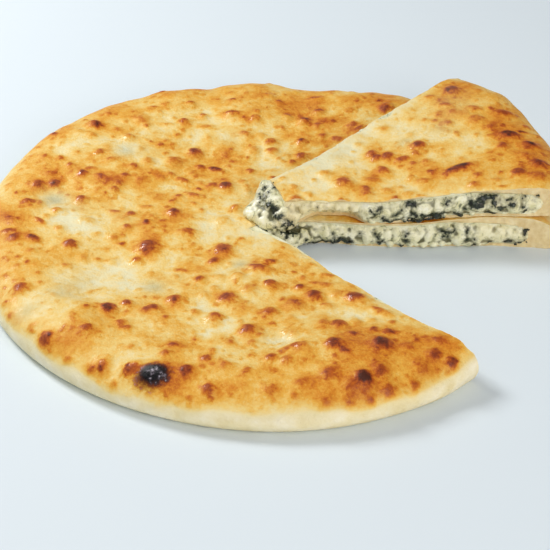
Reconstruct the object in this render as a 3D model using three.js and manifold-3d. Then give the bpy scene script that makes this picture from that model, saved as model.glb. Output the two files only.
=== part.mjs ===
// A flat round pie: thin dough baked around cheese and chopped greens, with a thick soft rim.
// One slice is cut out and lies on the pie beside its gap. Millimetres, +Z up, and the gap opens to
// the right of the front (-Y). The shapes are worked out about the middle of the pie's underside.
import * as THREE from "three";
import { mergeVertices } from "three/addons/utils/BufferGeometryUtils.js";
import Module from "manifold-3d";

const wasm = await Module();
wasm.setup();

// The baked round
const pieRadius = 160;
const middleHeight = 15;
const crestHeight = 19.5; // top of the rim
const crestRadius = 138;
const crownStart = 55; // the top begins to rise towards the rim here
const bellyHeight = 6.5; // the rim stands out furthest at this height
const soleTuck = 7; // the underside curls in by this much
const topRings = 10;
const fillingRings = 6;

// Dough around the filling
const topDough = 2.6;
const soleDough = 2.6;
const rimDough = 18;
const fitGap = 0.3; // between dough and filling
const restGap = 0.5; // under the slice that lies on the pie

// Where the knife went: headings in degrees, counted from +X
const frontCut = { heading: -45.5, aside: -6.7, from: 1, wander: 1.6, wave: 88 };
const backCut = { heading: 0, aside: 0.6, from: 9, wander: 1.3, wave: 96 };
const gapTip = new THREE.Vector2(-8, 2);

// The slice as it lies: the middle of its own round, its two cuts and its blunt tip
const sliceMiddle = new THREE.Vector2(7, 14);
const sliceFront = { heading: 2, aside: -2.1, from: 8, wander: 0.9, wave: 80 };
const sliceLeft = { heading: 42.5, aside: 15.8, from: 13.5, wander: -1.3, wave: 112 };

// Slow rises and hollows of the baked top
const swells = [
  { azimuth: 222, radius: 140, spread: 24, rise: 1.5 },
  { azimuth: 291, radius: 132, spread: 28, rise: 1.6 },
  { azimuth: 209, radius: 96, spread: 24, rise: -2.4 },
  { azimuth: 171, radius: 122, spread: 15, rise: -2.2 },
  { azimuth: 146, radius: 100, spread: 26, rise: 1.2 },
  { azimuth: 122, radius: 66, spread: 20, rise: -1.4 },
  { azimuth: 258, radius: 62, spread: 26, rise: 1.4 },
  { azimuth: 186, radius: 62, spread: 22, rise: 1.1 },
  { azimuth: 96, radius: 112, spread: 20, rise: 1.3 },
];

// How far the rim leaves a true round, and how much higher or lower it stands there
const rimWaves = [
  { azimuth: 57, spread: 9, out: 4 },
  { azimuth: 82, spread: 8, out: -4 },
  { azimuth: 105, spread: 6, out: -2 },
  { azimuth: 142, spread: 16, out: 1.4 },
  { azimuth: 248, spread: 20, out: -0.9 },
  { azimuth: 300, spread: 14, out: -1.2 },
];
const sliceWaves = [{ azimuth: 35, spread: 9, out: 4 }];
const rimLift = 0.65; // rise for each millimetre outward

// Large blisters of the crust: place and width
const pieBlisters = [
  { azimuth: 248.4, radius: 146, width: 15 },
  { azimuth: 288.9, radius: 142, width: 9 },
  { azimuth: 297.4, radius: 124, width: 8 },
  { azimuth: 303.3, radius: 84, width: 8 },
  { azimuth: 265, radius: 48, width: 11 },
  { azimuth: 203, radius: 69, width: 10 },
  { azimuth: 225.2, radius: 114, width: 9 },
  { azimuth: 207, radius: 143, width: 9 },
  { azimuth: 224.5, radius: 153, width: 8 },
  { azimuth: 137, radius: 142, width: 9 },
  { azimuth: 111.4, radius: 120, width: 8 },
  { azimuth: 143.4, radius: 67, width: 8 },
];
const sliceBlisters = [
  { azimuth: 42, radius: 55, width: 11 },
  { azimuth: 41, radius: 118, width: 9 },
  { azimuth: 22, radius: 112, width: 12 },
  { azimuth: 12, radius: 142, width: 9 },
];
const blisterRise = 0.09; // of its width

// Curds and shreds of leaf that stand out of a cut
const curdRadius = 4.6;
const curdPitch = 10;
const tipSpill = 7; // the filling slides out of the slice's tip by this much
const tipSag = 2;
const leafLength = 26;
const leafHeight = 4.2;
const leafThickness = 1.4;

const doughMaterial = new THREE.MeshStandardMaterial({ color: 0xe3b868, roughness: 0.55, metalness: 0 });
const sliceMaterial = new THREE.MeshStandardMaterial({ color: 0xe0b462, roughness: 0.55, metalness: 0 });
const cheeseMaterial = new THREE.MeshStandardMaterial({ color: 0xdcdcb6, roughness: 0.45, metalness: 0 });
const sliceCheeseMaterial = new THREE.MeshStandardMaterial({ color: 0xd6d7b2, roughness: 0.45, metalness: 0 });

let seed = 41;
function random(low, high) {
  seed = (seed * 16807) % 2147483647;
  return low + (high - low) * (seed / 2147483647);
}

function polar(azimuth, radius) {
  const angle = THREE.MathUtils.degToRad(azimuth);
  return new THREE.Vector2(radius * Math.cos(angle), radius * Math.sin(angle));
}

// Signed angle from one azimuth to another, in degrees
function turnBetween(a, b) {
  return THREE.MathUtils.euclideanModulo(a - b + 180, 360) - 180;
}

function rimWave(waves, azimuth) {
  let out = 0;
  for (const wave of waves) {
    const t = turnBetween(azimuth, wave.azimuth) / wave.spread;
    out += wave.out * Math.exp(-t * t);
  }
  return out;
}

function swellAt(x, y) {
  let rise = 0;
  for (const swell of swells) {
    const middle = polar(swell.azimuth, swell.radius);
    const t = Math.hypot(x - middle.x, y - middle.y) / swell.spread;
    rise += swell.rise * Math.exp(-t * t);
  }
  return rise;
}

function crownHeight(radius) {
  return middleHeight + (crestHeight - middleHeight) * THREE.MathUtils.smoothstep(radius, crownStart, crestRadius);
}

// Height of the surface the slice lies on: past the crest a slice bridges instead of following the rim
function restHeight(x, y) {
  const radius = Math.hypot(x, y);
  const azimuth = THREE.MathUtils.radToDeg(Math.atan2(y, x));
  const rim = THREE.MathUtils.smoothstep(radius, crownStart, crestRadius);
  return crownHeight(radius) + swellAt(x, y) + rimLift * rimWave(rimWaves, azimuth) * rim;
}

// Half section of the whole round, from the middle of the sole out to the rim and back over the top
function doughProfile(soleRings) {
  const points = [];
  const soleRadius = pieRadius - soleTuck;
  for (let i = 0; i < soleRings; i++) {
    points.push(new THREE.Vector2((soleRadius * i) / soleRings, 0));
  }
  for (let i = 0; i < 3; i++) {
    const a = (Math.PI / 2) * (i / 3 - 1);
    points.push(new THREE.Vector2(soleRadius + soleTuck * Math.cos(a), bellyHeight * (1 + Math.sin(a))));
  }
  for (let i = 0; i < 6; i++) {
    const a = (Math.PI / 2) * (i / 6);
    const rise = (crestHeight - bellyHeight) * Math.sin(a);
    points.push(new THREE.Vector2(crestRadius + (pieRadius - crestRadius) * Math.cos(a), bellyHeight + rise));
  }
  for (let i = topRings; i >= 0; i--) {
    const radius = (crestRadius * i) / topRings;
    points.push(new THREE.Vector2(radius, crownHeight(radius)));
  }
  return points;
}

// Half section of the filling, or of its hollow in the dough when grown by the gap
function fillingProfile(grow, soleRings) {
  const edge = pieRadius - rimDough + grow;
  const low = soleDough - grow;
  const points = [];
  for (let i = 0; i <= soleRings; i++) {
    points.push(new THREE.Vector2(((edge - 5) * i) / soleRings, low));
  }
  const high = crownHeight(edge) - topDough + grow;
  points.push(new THREE.Vector2(edge - 1, low + (high - low) * 0.25));
  points.push(new THREE.Vector2(edge, low + (high - low) * 0.5));
  points.push(new THREE.Vector2(edge - 3, low + (high - low) * 0.8));
  for (let i = fillingRings; i >= 0; i--) {
    const radius = ((edge - 8) * i) / fillingRings;
    points.push(new THREE.Vector2(radius, crownHeight(radius) - topDough + grow));
  }
  return points;
}

function moveVertices(geometry, move) {
  const positions = geometry.getAttribute("position");
  const point = new THREE.Vector3();
  for (let i = 0; i < positions.count; i++) {
    point.fromBufferAttribute(positions, i);
    move(point);
    positions.setXYZ(i, point.x, point.y, point.z);
  }
  return geometry;
}

// Turns a half section into a round that stands on Z
function turned(profile, segments) {
  const lathe = new THREE.LatheGeometry(profile, segments);
  return lathe.rotateX(Math.PI / 2);
}

// Lets the rim leave a true round, outward and upward; the sole stays flat
function waveRim(point, waves) {
  const radius = Math.hypot(point.x, point.y);
  const azimuth = THREE.MathUtils.radToDeg(Math.atan2(point.y, point.x));
  const wave = rimWave(waves, azimuth) * THREE.MathUtils.smoothstep(radius, crownStart, crestRadius);
  const above = THREE.MathUtils.smoothstep(point.z, soleDough, crestHeight - 4);
  point.z += above * rimLift * wave;
  point.x *= 1 + wave / pieRadius;
  point.y *= 1 + wave / pieRadius;
  return above;
}

// Gives the pie the swells of its top and the waves of its rim
function bakePie(point) {
  const swell = swellAt(point.x, point.y);
  const above = waveRim(point, rimWaves);
  point.z += above * swell;
}

// Lays the slice's own round on the pie, bent to the surface it rests on
function laySlice(point) {
  waveRim(point, sliceWaves);
  point.x += sliceMiddle.x;
  point.y += sliceMiddle.y;
  point.z += restHeight(point.x, point.y) + restGap;
}

function toSolid(geometry) {
  geometry.deleteAttribute("normal");
  geometry.deleteAttribute("uv");
  const merged = mergeVertices(geometry, 1e-3);
  const mesh = new wasm.Mesh({
    numProp: 3,
    vertProperties: new Float32Array(merged.getAttribute("position").array),
    triVerts: new Uint32Array(merged.getIndex().array),
  });
  return new wasm.Manifold(mesh);
}

function toMesh(solid, name, material) {
  const result = solid.getMesh();
  const geometry = new THREE.BufferGeometry();
  geometry.setAttribute("position", new THREE.BufferAttribute(new Float32Array(result.vertProperties), 3));
  geometry.setIndex(new THREE.BufferAttribute(new Uint32Array(result.triVerts), 1));
  geometry.computeVertexNormals();
  const mesh = new THREE.Mesh(geometry, material);
  mesh.name = name;
  return mesh;
}

function union(solids) {
  return solids.reduce((sum, solid) => sum.add(solid));
}

// Point on a knife line, a distance along it and a little to its left
function onCut(cut, along, left) {
  const forward = polar(cut.heading, 1);
  const sway = cut.wander * Math.sin((2 * Math.PI * along) / cut.wave);
  const aside = cut.aside + sway + left;
  return new THREE.Vector2(forward.x * along - forward.y * aside, forward.y * along + forward.x * aside);
}

function cutPoints(cut, left) {
  const points = [];
  const reach = pieRadius * 1.25;
  for (let along = cut.from; along < reach; along += 16) {
    points.push(onCut(cut, along, left));
  }
  points.push(onCut(cut, reach, left));
  return points;
}

// Upright prism through the whole height over a plan outline
function prism(outline) {
  const depth = 6 * crestHeight;
  const geometry = new THREE.ExtrudeGeometry(new THREE.Shape(outline), { depth, bevelEnabled: false });
  return toSolid(geometry.translate(0, 0, -depth / 3));
}

// The gap the slice left, drawn in from both cuts by an inset
function gapPrism(inset) {
  const front = cutPoints(frontCut, inset);
  const back = cutPoints(backCut, -inset);
  const outside = polar((frontCut.heading + backCut.heading) / 2, pieRadius * 1.8);
  return prism([gapTip, ...front, outside, ...back.reverse()]);
}

// Plan of the slice between its two cuts, grown by a margin
function slicePrism(grow) {
  const front = cutPoints(sliceFront, -grow);
  const left = cutPoints(sliceLeft, grow);
  const outside = polar((sliceFront.heading + sliceLeft.heading) / 2, pieRadius * 1.8);
  const tip = polar((sliceFront.heading + sliceLeft.heading) / 2 + 180, grow);
  front[0].add(tip);
  left[0].add(tip);
  return prism([...front, outside, ...left.reverse()]);
}

// A low dome on the crust
function blister(middle, height, width) {
  const dome = new THREE.SphereGeometry(width / 2, 8, 4);
  dome.rotateX(Math.PI / 2);
  dome.scale(1, 1, 2 * blisterRise);
  return toSolid(dome.translate(middle.x, middle.y, height));
}

function curd(middle, height, size, heading) {
  const lump = new THREE.SphereGeometry(size, 7, 4);
  lump.scale(random(1, 1.7), random(0.65, 0.95), random(0.75, 0.95));
  lump.rotateZ(THREE.MathUtils.degToRad(heading + random(-20, 20)));
  return toSolid(lump.translate(middle.x, middle.y, height));
}

// A wilted shred of leaf: a thin wavy strip that runs along a cut
function leafShred(middle, height, heading, climb) {
  const strip = new THREE.BoxGeometry(leafLength, leafThickness, leafHeight, 4, 1, 1);
  const phase = random(0, Math.PI);
  moveVertices(strip, (point) => {
    const t = point.x / leafLength;
    point.y += 1.1 * Math.sin(9 * t + phase);
    point.z += climb * t + 0.8 * Math.sin(7 * t + phase);
    point.z *= 1 - 0.5 * t * t;
  });
  strip.rotateZ(THREE.MathUtils.degToRad(heading));
  return toSolid(strip.translate(middle.x, middle.y, height));
}

// Curds and leaves along one cut; out is +1 where the open side is to the cut's left
function cutFace(cut, out, start, end, pitch, levelAt, leaves) {
  const lumps = [];
  let row = 0;
  for (let along = start; along < end; along += pitch * random(0.75, 1.1)) {
    const middle = onCut(cut, along, out * random(-0.6, 1.1));
    const level = levelAt(middle.x, middle.y);
    const shift = row % 2 ? 1.3 : -1.3;
    lumps.push(curd(middle, level + shift, curdRadius * random(0.8, 1.15), cut.heading));
    row += 1;
  }
  for (let i = 0; i < leaves; i++) {
    const along = start + ((i + 0.5) / leaves) * (end - start);
    const middle = onCut(cut, along, out * 2.6);
    const level = levelAt(middle.x, middle.y);
    lumps.push(leafShred(middle, level + random(-1.6, 1.6), cut.heading, random(-2, 2)));
  }
  return union(lumps);
}

// Middle of the filling's height in the pie and in the slice that lies on it
function pieLevel(x, y) {
  return (soleDough + restHeight(x, y) - topDough) / 2;
}

function sliceLevel(x, y) {
  const own = crownHeight(Math.hypot(x - sliceMiddle.x, y - sliceMiddle.y));
  return restHeight(x, y) + restGap + (soleDough + own - topDough) / 2;
}

const pieSegments = 84;
const sliceSegments = 108;
const fillingSegments = 30;
const fillingEdge = pieRadius - rimDough;

// The pie: dough shell and the filling that runs through it, both cut by the gap
const pieRound = toSolid(moveVertices(turned(doughProfile(1), pieSegments), bakePie));
const pieHollow = toSolid(moveVertices(turned(fillingProfile(fitGap, 1), fillingSegments), bakePie));
const pieFull = toSolid(moveVertices(turned(fillingProfile(0, 1), fillingSegments), bakePie));
const pieDomes = union(
  pieBlisters.map((spot) => {
    const middle = polar(spot.azimuth, spot.radius);
    const rim = THREE.MathUtils.clamp((spot.radius - crestRadius) / (pieRadius - crestRadius), 0, 1);
    const drop = (crestHeight - bellyHeight) * (1 - Math.sqrt(1 - rim * rim));
    return blister(middle, restHeight(middle.x, middle.y) - drop, spot.width);
  }),
);
const gap = gapPrism(0);
const pieCrust = pieRound.add(pieDomes).subtract(pieHollow).subtract(gap);
const pieCurds = union([
  cutFace(backCut, -1, 16, fillingEdge, curdPitch, pieLevel, 4),
  cutFace(frontCut, 1, 14, fillingEdge - 4, 1.5 * curdPitch, pieLevel, 2),
  curd(gapTip.clone().lerp(onCut(backCut, backCut.from, 0), 0.3), pieLevel(0, 0), curdRadius, 0),
  curd(onCut(backCut, backCut.from, 0), pieLevel(0, 0), curdRadius * 1.2, 0),
]);
const pieRoom = pieFull.add(gapPrism(fitGap));
const pieFilling = pieFull.subtract(gap).add(pieCurds.intersect(pieRoom));

// The slice: the same build on its own round, laid on the pie
const sliceRound = toSolid(moveVertices(turned(doughProfile(topRings), sliceSegments), laySlice));
const sliceHollow = toSolid(
  moveVertices(turned(fillingProfile(fitGap, fillingRings), 2 * fillingSegments), laySlice),
);
const sliceFull = toSolid(moveVertices(turned(fillingProfile(0, fillingRings), 2 * fillingSegments), laySlice));
const sliceDomes = union(
  sliceBlisters.map((spot) => {
    const middle = polar(spot.azimuth, spot.radius).add(sliceMiddle);
    const height = restHeight(middle.x, middle.y) + restGap + crownHeight(spot.radius);
    return blister(middle, height, spot.width);
  }),
);
const plan = slicePrism(0);
const sliceCrust = sliceRound.add(sliceDomes).subtract(sliceHollow).intersect(plan);
const sliceTip = [0, 0.33, 0.67, 1].map((t) => {
  const middle = onCut(sliceFront, sliceFront.from, 0).lerp(onCut(sliceLeft, sliceLeft.from, 0), t);
  middle.add(polar((sliceFront.heading + sliceLeft.heading) / 2 + 180, tipSpill * (1 - 0.5 * t)));
  return curd(middle, sliceLevel(middle.x, middle.y) - tipSag * (1 - t), curdRadius * 1.5, 90 * t);
});
const sliceCurds = union([
  cutFace(sliceFront, -1, 14, fillingEdge, curdPitch, sliceLevel, 5),
  cutFace(sliceLeft, 1, 18, fillingEdge, 1.5 * curdPitch, sliceLevel, 2),
  ...sliceTip,
]);
const sliceWalls = slicePrism(fitGap).subtract(sliceFull);
const sliceFloor = pieRound.translate([0, 0, restGap]);
const sliceFilling = sliceFull.intersect(plan).add(sliceCurds.subtract(sliceWalls)).subtract(sliceFloor);

const cheesePie = new THREE.Group();
cheesePie.name = "cheese_pie";
cheesePie.add(toMesh(pieCrust, "pie_crust", doughMaterial));
cheesePie.add(toMesh(pieFilling, "pie_filling", cheeseMaterial));
cheesePie.add(toMesh(sliceCrust, "slice_crust", sliceMaterial));
cheesePie.add(toMesh(sliceFilling, "slice_filling", sliceCheeseMaterial));

// The origin goes to the middle of the underside of the whole, with the slice
const box = new THREE.Box3().setFromObject(cheesePie);
const middle = box.getCenter(new THREE.Vector3());
for (const mesh of cheesePie.children) {
  mesh.position.set(-middle.x, -middle.y, -box.min.z);
}

export default cheesePie;
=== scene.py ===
import math
import random
from functools import partial

import bmesh
import bpy
import numpy as np
from mathutils import Matrix, Vector, noise
from mathutils.bvhtree import BVHTree


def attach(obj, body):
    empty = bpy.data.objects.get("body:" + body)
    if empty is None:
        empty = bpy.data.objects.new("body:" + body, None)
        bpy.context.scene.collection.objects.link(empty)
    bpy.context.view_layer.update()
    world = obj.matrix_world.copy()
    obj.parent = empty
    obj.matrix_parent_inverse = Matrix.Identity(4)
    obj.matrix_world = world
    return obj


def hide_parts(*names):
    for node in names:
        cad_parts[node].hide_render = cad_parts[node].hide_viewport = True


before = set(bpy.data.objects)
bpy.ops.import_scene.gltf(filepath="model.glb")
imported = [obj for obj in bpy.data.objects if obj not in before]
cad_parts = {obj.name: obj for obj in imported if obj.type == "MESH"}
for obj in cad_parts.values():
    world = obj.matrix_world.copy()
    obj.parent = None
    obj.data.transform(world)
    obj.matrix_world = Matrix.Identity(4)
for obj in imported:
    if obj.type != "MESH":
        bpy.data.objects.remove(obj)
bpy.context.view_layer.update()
scene = bpy.context.scene

mm = 0.001
pieMiddle = Vector((-3.4975, 0.313, 0.0))  # the pie's own middle in the frame, in mm


# Small helpers

def linear(hexColour):
    parts = [int(hexColour[i:i + 2], 16) / 255 for i in (1, 3, 5)]
    return [p / 12.92 if p <= 0.04045 else ((p + 0.055) / 1.055) ** 2.4 for p in parts] + [1.0]


def addNode(tree, kind, inputs=(), stops=(), **settings):  # inputs by name, or in the node's own order
    node = tree.nodes.new("ShaderNode" + kind)
    for name, value in settings.items():
        setattr(node, name, value)
    for name, value in inputs.items() if isinstance(inputs, dict) else enumerate(inputs):
        if isinstance(value, bpy.types.Node):
            value = value.outputs[0]
        if isinstance(value, bpy.types.NodeSocket):
            tree.links.new(value, node.inputs[name])
        else:
            node.inputs[name].default_value = value
    if stops:
        ramp = node.color_ramp
        while len(ramp.elements) < len(stops):
            ramp.elements.new(0.5)
        for element, (place, colour) in zip(ramp.elements, stops):
            element.position = place
            element.color = linear(colour)
    return node


def newMaterial(name):
    material = bpy.data.materials.new(name)
    material.use_nodes = True
    material.node_tree.nodes.clear()
    return material, partial(addNode, material.node_tree)


def smoothStep(value, low, high):
    t = np.clip((value - low) / (high - low), 0.0, 1.0)
    return t * t * (3 - 2 * t)


def polar(azimuth, radius):
    angle = math.radians(azimuth)
    return radius * math.cos(angle), radius * math.sin(angle)


def grain(points, size, seed):
    shift = Vector((seed * 17.3, seed * 7.7, seed * 3.1))
    return np.array([noise.noise(Vector(p) / size + shift) for p in points])


def nearSpot(x, y, sx, sy, spread):  # 1 at a place, fading out round it
    return np.exp(-((x - sx) ** 2 + (y - sy) ** 2) / spread ** 2)


# Camera at the photograph's viewing angle: place in mm from the pie's middle, angles in degrees
view = {"place": (-1.118, -726.773, 510.742), "heading": 0.3743, "down": 36.2036, "roll": 1.1247,
        "lens": 104.727, "sensor": 36.0}

heading, down, roll = (math.radians(view[key]) for key in ("heading", "down", "roll"))
ahead = Vector((math.sin(heading) * math.cos(down), math.cos(heading) * math.cos(down), -math.sin(down)))
level = Vector((math.cos(heading), -math.sin(heading), 0.0))
upright = level.cross(ahead)
right = level * math.cos(roll) + upright * math.sin(roll)
up = upright * math.cos(roll) - level * math.sin(roll)
cameraData = bpy.data.cameras.new("camera")
cameraData.lens = view["lens"]
cameraData.sensor_width = view["sensor"]
camera = bpy.data.objects.new("camera", cameraData)
camera.matrix_world = Matrix((right, up, -ahead)).transposed().to_4x4()
camera.location = (Vector(view["place"]) + pieMiddle) * mm
scene.collection.objects.link(camera)
scene.camera = camera
print("camera placed")


# Shape of the baked round, in mm about the pie's middle
pie = {"radius": 160.0, "middleHeight": 15.0, "crestHeight": 19.5, "crestRadius": 138.0, "crownStart": 55.0,
       "bellyHeight": 6.5, "soleTuck": 7.0, "topDough": 1.4, "soleDough": 1.9, "rimDough": 18.0,
       "fitGap": 0.1, "restGap": 0.5, "rimLift": 0.65, "rimThick": 4.2, "thickFrom": 90.0, "thickTo": 140.0}

# Hills and hollows of the top: azimuth, radius, spread, rise
swells = [
    (222, 140, 24, 1.5), (291, 132, 28, 1.6), (209, 96, 24, -2.4), (171, 122, 15, -2.2),
    (146, 100, 26, 1.2), (122, 66, 20, -1.4), (258, 62, 26, 1.4), (186, 62, 22, 1.1), (96, 112, 20, 1.3),
    (277, 121, 10, 1.5), (273, 107, 9, -1.2), (284, 112, 9, 1.0), (226, 136, 13, 1.3),
    (221, 128, 9, 0.6), (219, 118, 10, -1.3), (230, 122, 9, -1.0), (247, 144, 12, 1.0),
    (252, 118, 11, -0.9)]
# Where the rim leaves a true circle: azimuth, spread, out
rimWaves = [(57, 9, 4.0), (82, 8, -4.0), (105, 6, -2.0), (142, 16, 1.4), (248, 20, -0.9), (300, 14, -1.2)]
sliceWaves = [(35, 9, 4.0)]

# Knife lines: heading in degrees, then how far they pass to the left of the middle
# A bow is a stretch that lies further in: where along the cut, spread and reach
frontCut = {"heading": -45.5, "aside": -6.7, "from": 1.0, "wander": 1.6, "wave": 88.0,
            "bow": (111.0, 22.0, -3.8)}
backCut = {"heading": 0.0, "aside": 0.6, "from": 9.0, "wander": 1.3, "wave": 96.0}
gapTip = (-8.0, 2.0)
sliceMiddle = (7.0, 14.0)
sliceFront = {"heading": 2.0, "aside": -2.1, "from": 8.0, "wander": 0.9, "wave": 80.0}
sliceLeft = {"heading": 42.5, "aside": 15.8, "from": 13.5, "wander": -1.3, "wave": 112.0}
slicePlan = {"tip": 4.0, "soft": 3.0}


def cutSway(cut, along):
    middle, spread, reach = cut.get("bow", (0.0, 1.0, 0.0))
    bow = reach * np.exp(-((along - middle) / spread) ** 2)
    return cut["wander"] * np.sin(2 * np.pi * along / cut["wave"]) + bow


def onCut(cut, along, left=0.0):
    fx, fy = polar(cut["heading"], 1.0)
    aside = cut["aside"] + float(cutSway(cut, along)) + left
    return fx * along - fy * aside, fy * along + fx * aside


def besideCut(cut, x, y):  # distance along a knife line and to its left
    fx, fy = polar(cut["heading"], 1.0)
    along = x * fx + y * fy
    return along, y * fx - x * fy - cut["aside"] - cutSway(cut, along)


def nearLine(cut, x, y, reach):
    return np.exp(-np.abs(besideCut(cut, x, y)[1]) / reach)


def rimWave(azimuth, waves):
    out = 0.0
    for middle, spread, reach in waves:
        turn = (azimuth - middle + 180) % 360 - 180
        out = out + reach * np.exp(-(turn / spread) ** 2)
    return out


def swell(x, y):
    rise = 0.0
    for azimuth, radius, spread, height in swells:
        rise = rise + height * nearSpot(x, y, *polar(azimuth, radius), spread)
    return rise


def rimShare(radius):  # 0 over the middle, 1 at the crest
    return smoothStep(radius, pie["crownStart"], pie["crestRadius"])


def crown(radius):
    return pie["middleHeight"] + (pie["crestHeight"] - pie["middleHeight"]) * rimShare(radius)


def pieTop(x, y):  # the surface the slice lies on
    radius = np.hypot(x, y)
    wave = rimWave(np.degrees(np.arctan2(y, x)), rimWaves)
    return crown(radius) + swell(x, y) + pie["rimLift"] * wave * rimShare(radius)


def inSlice(x, y, margin):  # 1 inside the slice's plan, soft over its border
    frontLeft = besideCut(sliceFront, x, y)[1]
    leftLeft = besideCut(sliceLeft, x, y)[1]
    tipX, tipY = polar((sliceFront["heading"] + sliceLeft["heading"]) / 2, 1.0)
    fromTip = x * tipX + y * tipY - slicePlan["tip"]
    inside = np.minimum(np.minimum(frontLeft, -leftLeft), fromTip) + margin
    return smoothStep(inside, -slicePlan["soft"], slicePlan["soft"])


def doughProfile(topStep, soleStep):
    radius, crest, belly = pie["radius"], pie["crestRadius"], pie["bellyHeight"]
    sole = radius - pie["soleTuck"]
    points = [(r, 0.0) for r in np.linspace(0, sole, int(sole / soleStep) + 1)[:-1]]
    for turn in np.linspace(-90, 0, 7)[:-1]:
        a = math.radians(turn)
        points.append((sole + pie["soleTuck"] * math.cos(a), belly * (1 + math.sin(a))))
    for turn in np.linspace(0, 90, 17)[:-1]:
        a = math.radians(turn)
        height = belly + (pie["crestHeight"] - belly) * math.sin(a)
        points.append((crest + (radius - crest) * math.cos(a), height))
    points += [(r, float(crown(r))) for r in np.linspace(crest, 0, int(crest / topStep) + 1)]
    return points


def fillingTop(radius):  # the dough over the filling thickens to the rim
    thicker = pie["rimThick"] * float(smoothStep(radius, pie["thickFrom"], pie["thickTo"]))
    return float(crown(radius)) - pie["topDough"] - thicker


def fillingProfile(grow, step):
    edge = pie["radius"] - pie["rimDough"] + grow
    low = pie["soleDough"] - grow
    high = fillingTop(edge) + grow
    points = [(r, low) for r in np.linspace(0, edge - 5, int(edge / step) + 1)]
    bends = ((1, 0.25), (0, 0.5), (2, 0.8))  # how far in and how high its end rounds off
    points += [(edge - inset, low + share * (high - low)) for inset, share in bends]
    points += [(r, fillingTop(r) + grow) for r in np.linspace(edge - 6, 0, int(edge / step) + 1)]
    return points


def spinRound(profile, steps, cuts=0):
    bm = bmesh.new()
    verts = [bm.verts.new((r, 0.0, z)) for r, z in profile]
    edges = [bm.edges.new(pair) for pair in zip(verts, verts[1:])]
    bmesh.ops.spin(bm, geom=verts + edges, cent=(0, 0, 0), axis=(0, 0, 1), angle=2 * math.pi, steps=steps,
                   use_merge=True)
    bmesh.ops.remove_doubles(bm, verts=bm.verts[:], dist=1e-4)
    if cuts:
        rings = [e for e in bm.edges if abs(e.verts[0].co.z - e.verts[1].co.z) < 1e-4
                 and abs(e.verts[0].co.xy.length - e.verts[1].co.xy.length) < 1e-3]
        bmesh.ops.subdivide_edges(bm, edges=rings, cuts=cuts, use_grid_fill=True)
    bmesh.ops.recalc_face_normals(bm, faces=bm.faces[:])
    return bm


def newPiece(name, bm, material):
    mesh = bpy.data.meshes.new(name)
    bm.to_mesh(mesh)
    bm.free()
    piece = bpy.data.objects.new(name, mesh)
    scene.collection.objects.link(piece)
    mesh.materials.append(material)
    return piece


def vertexPlaces(piece, kind="co"):
    places = np.empty(3 * len(piece.data.vertices))
    piece.data.vertices.foreach_get(kind, places)
    return places.reshape(-1, 3)


def moveVertices(piece, places):
    piece.data.vertices.foreach_set("co", places.ravel())
    piece.data.update()


def shadeSmooth(piece):
    for face in piece.data.polygons:
        face.use_smooth = True


def applyModifiers(piece):
    graph = bpy.context.evaluated_depsgraph_get()
    finished = bpy.data.meshes.new_from_object(piece.evaluated_get(graph))
    old = piece.data
    piece.modifiers.clear()
    piece.data = finished
    bpy.data.meshes.remove(old)


def carve(piece, cutter, operation, takeMaterial=True):
    boolean = piece.modifiers.new("carve", "BOOLEAN")
    boolean.operation = operation
    boolean.object = cutter
    boolean.solver = "MANIFOLD"
    boolean.material_mode = "TRANSFER" if takeMaterial else "INDEX"
    applyModifiers(piece)


def discard(piece):
    mesh = piece.data
    bpy.data.objects.remove(piece)
    bpy.data.meshes.remove(mesh)


# Upright block over a plan outline, with the rough walls that a knife leaves in soft dough
knife = {"step": 1.3, "rough": 0.45, "grain": 2.6, "broad": 4, "broadShare": 1.5, "low": -8.0,
         "gapHigh": 34.0, "sliceHigh": 62.0, "spacing": 4.0, "reach": 1.25 * pie["radius"],
         "outside": 1.8 * pie["radius"]}


def wedgeOutline(first, second, *tip):
    there, back = ([onCut(cut, along) for along in np.arange(cut["from"], knife["reach"], knife["spacing"])]
                   for cut in (first, second))
    outside = polar((first["heading"] + second["heading"]) / 2, knife["outside"])
    return [*tip, *there, outside, *back[::-1]]


def knifeBlock(name, outline, high, recess=None):
    low = knife["low"]
    bm = bmesh.new()
    verts = []
    for start, end in zip(outline, outline[1:] + outline[:1]):
        count = max(1, int(math.dist(start, end) / knife["step"]))
        for i in range(count):
            verts.append(bm.verts.new((*(a + i / count * (b - a) for a, b in zip(start, end)), low)))
    base = bm.faces.new(verts)
    layers = int((high - low) / knife["step"])
    edges = base.edges[:]
    for i in range(layers):
        grown = bmesh.ops.extrude_edge_only(bm, edges=edges)["geom"]
        raised = [v for v in grown if isinstance(v, bmesh.types.BMVert)]
        bmesh.ops.translate(bm, verts=raised, vec=(0, 0, (high - low) / layers))
        edges = [e for e in grown if isinstance(e, bmesh.types.BMEdge) and e.is_boundary]
    bmesh.ops.holes_fill(bm, edges=edges, sides=0)
    for v in bm.verts:
        push = noise.noise_vector(v.co / knife["grain"])
        push += knife["broadShare"] * noise.noise_vector(v.co / (knife["broad"] * knife["grain"]))
        v.co.x += knife["rough"] * push.x
        v.co.y += knife["rough"] * push.y + (recess(v.co) if recess else 0.0)
    bmesh.ops.triangulate(bm, faces=[f for f in bm.faces if len(f.verts) > 4])
    bmesh.ops.recalc_face_normals(bm, faces=bm.faces[:])
    return newPiece(name, bm, crumbMaterial)


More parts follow.
